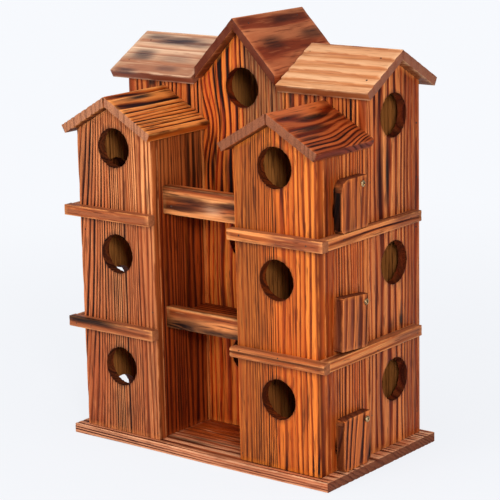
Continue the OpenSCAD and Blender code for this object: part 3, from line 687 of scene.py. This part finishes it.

# --- Tower roofs ------------------------------------------------------------
# Two boards meet at a plumb joint on each ridge, with the grain running from front to
# back and square-cut eaves. The left ones are grooved; the right outer one shows a
# long dark eye where its rings run flat.

# inside: the darker brown of the roof boards' undersides, partly the raw wood and partly painted shade under the
# eaves.
LEFT_ROOF_FIR = fir("left_roof_fir", "#ffb268", "#c0601c", "#3a0500", end="#c48a6a", inside="#7a4424", line=0.36,
                    strength=1.2, soot=0.35)
RIGHT_ROOF_FIR = fir("right_roof_fir", "#de8048", "#8e350e", "#200400", end="#a06a4e", inside="#7a4424", line=0.45,
                     strength=1.1, soot=0.3)
ROOFS = {
    (1, 1): {"spacing": ((0, 22), (34, 19), (50, 12), (66, 4.6), (81, 4.6)), "seed": 97, "sway": 2.0,
             "bend": lambda u, w: 15 * ramp(w, 45, 118) * ramp(u, -10, 70), "knots": ((25, 62, 10, 34, -0.8),)},
    (1, -1): {"spacing": ((0, 9), (81, 7)), "seed": 99},
    (-1, -1): {"spacing": ((0, 26), (22, 12), (34, 7), (81, 6)), "seed": 101, "sway": 1.2},
    (-1, 1): {"spacing": ((0, 10), (81, 8)), "seed": 103},
}
slope = math.radians(29.5)
for side, word in ((1, "right"), (-1, "left")):
    for way, part in ((1, "outer"), (-1, "inner")):
        down = side * way * math.cos(slope) * X - math.sin(slope) * Z
        up = side * way * math.sin(slope) * X + math.cos(slope) * Z
        slab = board(f"{word}_tower_roof_{part}_slab", (X_RIDGE * side, FRONT - 14.5, 431.5), down, Y, up,
                     70.6 / math.cos(slope), ROOFS[side, way], lambda u, t: (0.0, 111.5), thick=11.0,
                     skew=(tan(29.5), 0.0), depth=0.7 if side < 0 else 0.4,
                     calm=(lambda u, w: 0.75 * ramp(u, 60, 40)) if side > 0 else 0.0,
                     spots={(1, 1): ((23, 64, 4.6, 30, 1.0), (15, 30, 3, 22, 0.6), (40, 42, 4.4, 26, 0.9),
                                     (33, 90, 2.4, 14, 0.5), (54, 20, 2.4, 20, 0.7)),
                            (-1, -1): ((13, 54, 3.6, 22, 0.95), (15, 36, 3.0, 16, 0.5),
                                       (86, 105, 8, 9, 1.0))}.get((side, way), ()))
        finish(slab, f"{word}_tower_roof_{part}", RIGHT_ROOF_FIR if side > 0 else LEFT_ROOF_FIR)

# --- Side roofs -------------------------------------------------------------
# Lighter boards with the grain along the ridge. The right front one was brushed into
# shallow steps; the left front one was singed in grey patches. The right ones carry
# painted shade in the foot of each step, fading up the step.

# inside: the darker brown of the roof boards' undersides, partly the raw wood and partly painted shade under the
# eaves.
# pale and char: darker browns; pale is used only for the painted shade of the steps, char mostly for their painted
# shadow lines.
STEPPED_FIR = fir("stepped_roof_fir", "#fbc99a", "#d9935e", "#a8683e", pale="#bd7040", char="#7c3f20",
                  edge="#762c0a", end="#8a5040",
                  inside="#7a4424", line=0.3, strength=0.3, soot=0.2, stain=1.0, contrast=1.03)
SINGED_FIR = fir("singed_roof_fir", "#fad4b0", "#cc9472", "#a0624a", pale="#a0603c", char="#3c3238",
                 edge="#66240a", inside="#7a4424",
                 line=0.3, strength=0.2, soot=0.25, stain=1.0, contrast=1.03)
SINGES = ((17, 66, 8.5, 40, 1.0), (11, 32, 6, 25, 0.85), (21, 100, 7, 18, 0.7), (48, 30, 11, 18, 0.85),
          (51, 84, 8, 24, 0.4),
          (71, 84, 5, 17, 0.6), (80, 24, 4, 16, 0.8))


def step_part(u, w):
    """How far down its own step a place on the roof lies, from 0 to 1: the steps are
    17 mm wide and sway a little along the board."""
    return np.mod((u - 17 + 1.5 * np.sin(w / 30)) / 17.0, 1.0)


def steps(u, w):
    """Depth of the brushed steps down a roof board: a softened saw-tooth wave."""
    part = step_part(u, w)
    return 1.3 * ramp(part, 0.0, 0.12) * (1 - part) ** 1.2


def painted_step_shadow(u, w, t):
    """Painted shadow in the foot of each brushed step, laid into the scorch field."""
    part = step_part(u, w)
    return 0.55 * np.exp(-((part - 0.1) / 0.07) ** 2) * (t > -3) * (0.6 + 0.4 * np.sin(w / 17.0 + u))


slope = math.radians(29.7)
for side, word in ((1, "right"), (-1, "left")):
    for way, part in ((1, "back"), (-1, "front")):
        down = way * math.cos(slope) * Y - math.sin(slope) * Z
        up = way * math.sin(slope) * Y + math.cos(slope) * Z
        start = 63.1 if side > 0 else -194.0
        slab = board(f"{word}_side_roof_{part}_slab", (start, Y_RIDGE, SIDE_TOP), down, X, up,
                     72.0 / math.cos(slope), {"spacing": ((0, 17), (83, 18)), "seed": 107 + 2 * side + way},
                     lambda u, t: (0.0, 130.9), thick=11.0, skew=(tan(29.7), 0.0), depth=0.25,
                     mould=steps if side > 0 > way else None, marks=painted_step_shadow if side > 0 else None,
                     spots=SINGES if side < 0 else (),
                     # tone: painted shade, darkest at the foot of each step and fading up it.
                     tone=(lambda u, w: 0.8 * (1 - step_part(u, w)) ** 2.5) if side > 0 else (lambda u,
                         w: 0.6 * ramp(u, 40, 62)))
        finish(slab, f"{word}_roof_{part}", STEPPED_FIR if side > 0 else SINGED_FIR)

# --- Centre roof ------------------------------------------------------------
# Two steep, dark boards with plumb ends over the centre gable.

# inside: the darker brown of the roof boards' undersides, partly the raw wood and partly painted shade under the
# eaves.
CENTRE_ROOF_FIR = fir("centre_roof_fir", "#e2986a", "#9c4a26", "#6a2a10", char="#2c150d", end="#6a3422",
                      inside="#7a4424", line=0.5, strength=0.45, soot=0.4)
slope = math.radians(46)
for side, word, end in ((1, "right", 61.7), (-1, "left", 59.5)):
    down = side * math.cos(slope) * X - math.sin(slope) * Z
    up = side * math.sin(slope) * X + math.cos(slope) * Z
    slab = board(f"centre_roof_{word}_slab", (0, MID - 16, SIDE_TOP + 33), down, Y, up, end / math.cos(slope),
                 {"spacing": ((0, 28), (88, 32)), "seed": 113 + side, "sway": 5.0}, lambda u, t: (0.0, 138.5),
                 thick=9.5, skew=(tan(46), tan(46)), depth=0.3,
                 spots=((12, 95, 6, 34, 0.75), (44, 40, 10, 22, 0.7), (40, 120, 8, 24, 0.7), (8, 20, 4, 20, 0.4)))
    finish(slab, f"centre_roof_{word}", CENTRE_ROOF_FIR)

# --- Trim strips ------------------------------------------------------------
# Narrow strips cover the floor joints: flat ones along the sides, whose ends the front
# strips lap. The right tower's lower front strip is moulded: a rounded nose over a
# small round groove.

TRIM_FIR = fir("trim_fir", "#fab070", "#d0763a", "#48180a", pale="#9c5e42", edge="#b87450", end="#b4744e",
               line=0.34, strength=0.8, soot=0.35, stain=0.7)


def nose(u, w):
    """Depth of the round-bottomed groove along the moulded strip's face."""
    return np.sqrt(np.clip(1.17 ** 2 - (u - 7.54) ** 2, 0, None))


for side, word in ((1, "right"), (-1, "left")):
    for level, top, seed in (("lower", 152.5, 127), ("upper", 293.0, 131)):
        start = 59.0 if side > 0 else -195.0
        moulded = side > 0 and level == "lower"
        strip = board(f"{word}_front_strip_{level}", (start, FRONT - BOARD, top - 13), Z, X, -Y, 13.0,
                      {"spacing": ((0, 9), (13, 10)), "seed": seed + side}, lambda u, t: (0.0, 136.0),
                      edge=3.9 if moulded else 0.8, pitch=0.4 if moulded else 1.0, mould=nose if moulded else None,
                      depth=0.25,
                      # The moulded strip's groove is painted dark along its length: painted shade in the groove.
                      spots=((7.54, 68, 1.5, 120, 0.75),) if moulded else ((11, 30, 4.5, 50, 1.0),
                          ) if level == "lower" else (),
                      tone=0.8 if side < 0 else 0.3 if moulded else (lambda u, w: 0.9 * ramp(w, 50, 76)), calm=0.4)
        finish(strip, f"{word}_front_trim_{level}", TRIM_FIR)
        strip = board(f"{word}_side_strip_{level}", (192.5 * side, FRONT, top - 13), Z, Y, X * side, 13.0,
                      {"spacing": ((0, 9), (13, 10)), "seed": seed + 7 + side}, lambda u, t: (0.0, 191.0),
                      thick=12.5, depth=0.25, tone=lambda u, w: 0.8 * ramp(w, 110, 150))
        finish(strip, f"{word}_side_trim_{level}", TRIM_FIR)

# --- Clean-out doors --------------------------------------------------------
# A small plate on one screw covers each clean-out hole. Two on the left hang swung
# open, and the middle one on the right stands a little ajar.

DOOR_FIR = fir("door_fir", "#ea9250", "#9c4a22", "#340c03", edge="#8a4a2c", inside="#7a4424", line=0.42,
               strength=1.0, soot=0.4)
DOORS = (("lower", 0, 53.5, 63.0, 9.5, 8.0), ("middle", 1, 52.0, 63.0, 8.0, 3.0),
         ("upper", 2, 51.0, 60.5, 11.5, 14.0))
DOOR_EDGE = 3.0


def corner(reach, radius):
    """How far a round corner falls short of the edge, `reach` in from the side."""
    inside = np.clip(radius - reach, 0.0, radius)
    return radius - np.sqrt(radius * radius - inside * inside)


for side, word in ((1, "right"), (-1, "left")):
    for level, storey, wide, tall, rear, arch in DOORS:
        foot = tall - 9.0
        heel = math.hypot(1.5, foot) if storey == 0 else math.hypot(rear - DOOR_EDGE, foot - DOOR_EDGE) + DOOR_EDGE
        angle = 0.0 if storey == 2 else (195.0 if side < 0 else 5.0 * storey)
        turn = math.radians(-angle)
        y_dir = math.cos(turn) * Y + math.sin(turn) * Z
        z_dir = -math.sin(turn) * Y + math.cos(turn) * Z
        screw = np.array([192.3 * side, FRONT + 30 + wide - rear, FLOOR[storey] + 0.3 + heel])

        def ends(u, t, wide=wide, tall=tall, arch=arch, storey=storey):
            top = tall - np.maximum(corner(u, arch), corner(wide - u, DOOR_EDGE))
            heel_cut = np.clip(u - wide + 8.0, 0, 8.0) * 6.5 / 8.0 if storey == 0 else corner(wide - u, DOOR_EDGE)
            return np.maximum(corner(u, DOOR_EDGE), heel_cut), top

        # The front edge face of the lower and upper plates is blackened: partly charred wood, partly painted shade of
        # the gap by the wall.
        char_and_painted_shade = {0: (0.35, -0.5), 1: (0.0, 0.0), 2: (1.0, -2.6)}[storey]
        door = board(f"{word}_door_{level}_plate", screw + (rear - wide) * y_dir - foot * z_dir,
                     y_dir, z_dir, X * side, wide, {"spacing": ((0, 11), (30, 12), (52, 9)),
                                                    "lean": (0.14, -0.03, 0.05)[storey],
                                     "seed": 139 + storey + 3 * side, "sway": 3.0},
                     ends, pitch=1.0, step=4.0, calm=(0.0, 0.6, 0.85)[storey], marks=lambda u, w, t,
                     char_and_painted_shade=char_and_painted_shade: char_and_painted_shade[0] * (u < 1.0) * (t < char_and_painted_shade[1]))
        finish(door, f"{word}_door_{level}", DOOR_FIR, f"{word}_door_{level}")

# --- Screws -----------------------------------------------------------------
# Bright zinc-plated pan heads, golden, darker and duller in small patches of fine noise.

steel = bpy.data.materials.new("screw_steel")
steel.use_nodes = True
n = Nodes(steel.node_tree)
metal = steel.node_tree.nodes["Principled BSDF"]
metal.inputs["Metallic"].default_value = 1.0
dirt = n.noise(n.add("TexCoord").outputs["Object"], 380.0, 3.0)
n.join(n.mix(n.span(dirt, 0.4, 0.7), (0.72, 0.5, 0.26, 1.0), (0.12, 0.06, 0.03, 1.0)), metal.inputs["Base Color"])
n.join(n.span(dirt, 0.3, 0.8, 0.25, 0.6), metal.inputs["Roughness"])
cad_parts["door_screws"].data.materials.clear()
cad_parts["door_screws"].data.materials.append(steel)

# --- Floors and partitions --------------------------------------------------
# Plain boards inside the house, seen only through the holes: brown, barely scorched.

for name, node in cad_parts.items():
    if "floor" not in name and "partition" not in name:
        continue
    low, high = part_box(name)
    middle = [(a + b) / 2 / MM for a, b in zip(low, high)]
    axis = "Z" if "partition" in name else "X"
    mat = fir(f"{name}_fir", "#b07a48", "#906038", "#4a2b16", strength=0.6,
              field=((middle[0], middle[1] + 20, middle[2] - 35), axis, 3.5))
    node.data.materials.clear()
    node.data.materials.append(mat)

# --- Nails ------------------------------------------------------------------
# Small iron nails hold every board. Their round heads sit flush in the wood, blackened
# by the torch.


def nail_heads(name, places, radius=1.25):
    """Nail heads as one mesh: a low dome on a short shank, turned round each place's
    outward axis, with its crown just under the board's outer face."""
    reach = np.array([0.0, 0.55, 0.88, 1.0, 0.96]) * radius
    rise = np.array([-0.02, -0.06, -0.18, -0.45, -2.2])
    angle = np.linspace(0, 2 * np.pi, 17)[:-1]
    spots, outs = (np.array(v, float) for v in zip(*places))
    outs = outs / np.linalg.norm(outs, axis=1)[:, None]
    side = np.cross(outs, [0.31, 0.52, 0.79])
    side = side / np.linalg.norm(side, axis=1)[:, None]
    other = np.cross(outs, side)
    round_ = np.cos(angle)[:, None, None] * side + np.sin(angle)[:, None, None] * other
    points = spots + rise[1:, None, None, None] * outs + reach[1:, None, None, None] * round_
    tops = spots + rise[0] * outs
    feet = spots + rise[-1] * outs
    count = len(places)
    body = points.transpose(2, 0, 1, 3).reshape(-1, 3)
    verts = np.vstack([body, tops, feet]) * MM
    start = np.arange(count)[:, None] * 64
    i = np.arange(16)
    j = (i + 1) % 16
    quads = [np.stack([start + i + 16 * k, start + i + 16 * k + 16, start + j + 16 * k + 16, start + j + 16 * k], -1)
             for k in range(3)]
    caps = [np.stack([start + i, start + j, np.broadcast_to(count * 64 + np.arange(count)[:, None], (count, 16))],
                     -1),
            np.stack([start + j + 48, start + i + 48, np.broadcast_to(count * 65 + np.arange(count)[:, None],
                (count, 16))], -1)]
    mesh = bpy.data.meshes.new(name)
    mesh.from_pydata(verts.tolist(), [], np.vstack([q.reshape(-1, 4) for q in quads]).tolist()
                     + np.vstack([c.reshape(-1, 3) for c in caps]).tolist())
    mesh.shade_smooth()
    piece = bpy.data.objects.new(name, mesh)
    bpy.context.scene.collection.objects.link(piece)
    return piece


def on_slope(side, ridge_x, ridge_z, pitch, u, y):
    """A place on a roof board that slopes to the right (side 1) or left (-1)."""
    a = math.radians(pitch)
    return ((ridge_x + side * u * math.cos(a), y, ridge_z - u * math.sin(a)), (side * math.sin(a), 0, math.cos(a)))


nails = []
for s in (1, -1):
    nails += [((s * x, FRONT, z), -Y) for x, z in ((172.6, 262), (172, 173), (66, 20.4), (171.3, 19.7),
                                                   (67.5, 172), (70, 262))]
    nails += [((s * x, FRONT - BOARD, z), -Y) for x, z in ((77, 287), (130, 284), (172, 286), (73, 149.4),
                                                           (129.6, 149.4), (158.6, 144), (183, 144))]
    nails += [((s * 192.5, y, z), X * s) for y, z in ((-71, 287.4), (6, 285), (64, 288), (-60, 145), (-6, 143),
                                                      (77, 144.7))]
    nails += [((s * 180, y, z), X * s) for y, z in ((95, 40), (95, 120), (95, 205), (94, 270), (95, 330),
                                                    (95, 395), (-1, 60), (-2, 200), (-1, 340))]
    nails += [((s * x, BACK, z), Y) for x in (66, 174) for z in (30, 110, 190, 270, 350, 420)]
    nails += [((s * 56, BACK, z), Y) for z in (30, 150, 270, 400)]
    for y in (-98, -30):
        for u in (14, 52):
            for way in (1, -1):
                nails.append(on_slope(way, s * X_RIDGE, 431.5, 29.5, u, y))
    for y in (-1, 94.7):
        for u in (11, 44, 74):
            nails.append(on_slope(s, 0.0, SIDE_TOP + 33, 46, u, y))
    a = math.radians(29.7)
    for way in (1, -1):
        for x, u in ((174, 18), (179, 60), (72, 16)):
            nails.append(((s * x, Y_RIDGE + way * u * math.cos(a), SIDE_TOP - u * math.sin(a)),
                          (0, way * math.sin(a), math.cos(a))))
nails += [((x, FRONT + 22, z), -Y) for x, z in ((-6.5, 294.9), (-8.6, 154.9), (37.2, 154.8), (-52, 300), (52, 300),
                                                (-54, 160))]
iron = bpy.data.materials.new("nail_iron")
iron.use_nodes = True
n = Nodes(iron.node_tree)
metal = iron.node_tree.nodes["Principled BSDF"]
metal.inputs["Metallic"].default_value = 0.7
rust = n.noise(n.add("TexCoord").outputs["Object"], 650.0, 3.0)
n.join(n.mix(n.span(rust, 0.4, 0.65), (0.075, 0.045, 0.034, 1.0), (0.02, 0.012, 0.01, 1.0)),
       metal.inputs["Base Color"])
n.join(n.span(rust, 0.3, 0.8, 0.38, 0.7), metal.inputs["Roughness"])
heads = nail_heads("nail_heads", nails)
heads.data.materials.append(iron)
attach(heads, "house")

# --- Studio -----------------------------------------------------------------
# A pale floor, broad soft lamps, and the camera of the photograph.

floor_mesh = bpy.data.meshes.new("studio_floor")
floor_mesh.from_pydata([(-8, -8, 0), (8, -8, 0), (8, 8, 0), (-8, 8, 0)], [], [(0, 1, 2, 3)])
studio = bpy.data.objects.new("studio_floor", floor_mesh)
studio.location.z = -0.0003
bpy.context.scene.collection.objects.link(studio)
studio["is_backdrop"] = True
paper = bpy.data.materials.new("studio_paper")
paper.use_nodes = True
n = Nodes(paper.node_tree)
plain = paper.node_tree.nodes["Principled BSDF"]
plain.inputs["Base Color"].default_value = (0.86, 0.87, 0.89, 1.0)
plain.inputs["Roughness"].default_value = 0.9
glow = n.add("Emission")
glow.inputs["Color"].default_value = (0.93, 0.948, 0.985, 1.0)
rays = n.add("LightPath")
blend = n.add("MixShader")
middle = n.add("VectorMath", operation="LENGTH")
n.join(n.add("TexCoord").outputs["Object"], middle.inputs[0])
n.join(n.math("MULTIPLY", rays.outputs["Is Camera Ray"], n.span(middle.outputs["Value"], 0.3, 1.5, 0.86, 1.0)),
       blend.inputs[0])
n.join(plain.outputs[0], blend.inputs[1])
n.join(glow.outputs[0], blend.inputs[2])
n.join(blend.outputs[0], paper.node_tree.nodes["Material Output"].inputs["Surface"])
floor_mesh.materials.append(paper)

world = bpy.data.worlds.new("studio")
bpy.context.scene.world = world
world.use_nodes = True
n = Nodes(world.node_tree)
sky = world.node_tree.nodes["Background"]
sky.inputs["Color"].default_value = (0.93, 0.948, 0.985, 1.0)
rays = n.add("LightPath")
n.join(n.span(rays.outputs["Is Camera Ray"], 0.0, 1.0, 0.35, 1.0, False), sky.inputs["Strength"])


def softbox(name, place, target, size, power, colour=(1.0, 1.0, 1.0)):
    data = bpy.data.lights.new(name, "AREA")
    data.shape = "RECTANGLE"
    data.size, data.size_y = size
    data.energy = power
    data.color = colour
    lamp = bpy.data.objects.new(name, data)
    bpy.context.scene.collection.objects.link(lamp)
    lamp.location = place
    lamp.rotation_euler = (Vector(target) - Vector(place)).to_track_quat("-Z", "Y").to_euler()


softbox("key", (1.62, -1.56, 1.02), (0, 0, 0.27), (0.4, 0.4), 27.0)
softbox("fill", (-0.5, -2.2, 0.75), (0, 0, 0.2), (1.0, 1.0), 17.5)
softbox("top", (0.1, -0.4, 2.4), (0, 0, 0.3), (1.2, 1.2), 18.0)

camera_data = bpy.data.cameras.new("camera")
camera = bpy.data.objects.new("camera", camera_data)
bpy.context.scene.collection.objects.link(camera)
azimuth, elevation, roll = math.radians(38.4), math.radians(13.2), math.radians(-1.3)
ahead = Vector((-math.sin(azimuth) * math.cos(elevation), math.cos(azimuth) * math.cos(elevation),
                -math.sin(elevation)))
right = Vector((math.cos(azimuth), math.sin(azimuth), 0.0))
above = right.cross(ahead)
right, above = (right * math.cos(roll) + above * math.sin(roll), above * math.cos(roll) - right * math.sin(roll))
camera.matrix_world = Matrix((
    (right.x, above.x, -ahead.x, 1.4379),
    (right.y, above.y, -ahead.y, -1.81095),
    (right.z, above.z, -ahead.z, 0.7769),
    (0, 0, 0, 1)))
camera_data.sensor_width = 36.0
camera_data.lens = 140.94
camera_data.shift_x, camera_data.shift_y = -0.002, 0.0042
bpy.context.scene.camera = camera
bpy.context.scene.view_settings.view_transform = "Standard"

low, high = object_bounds()
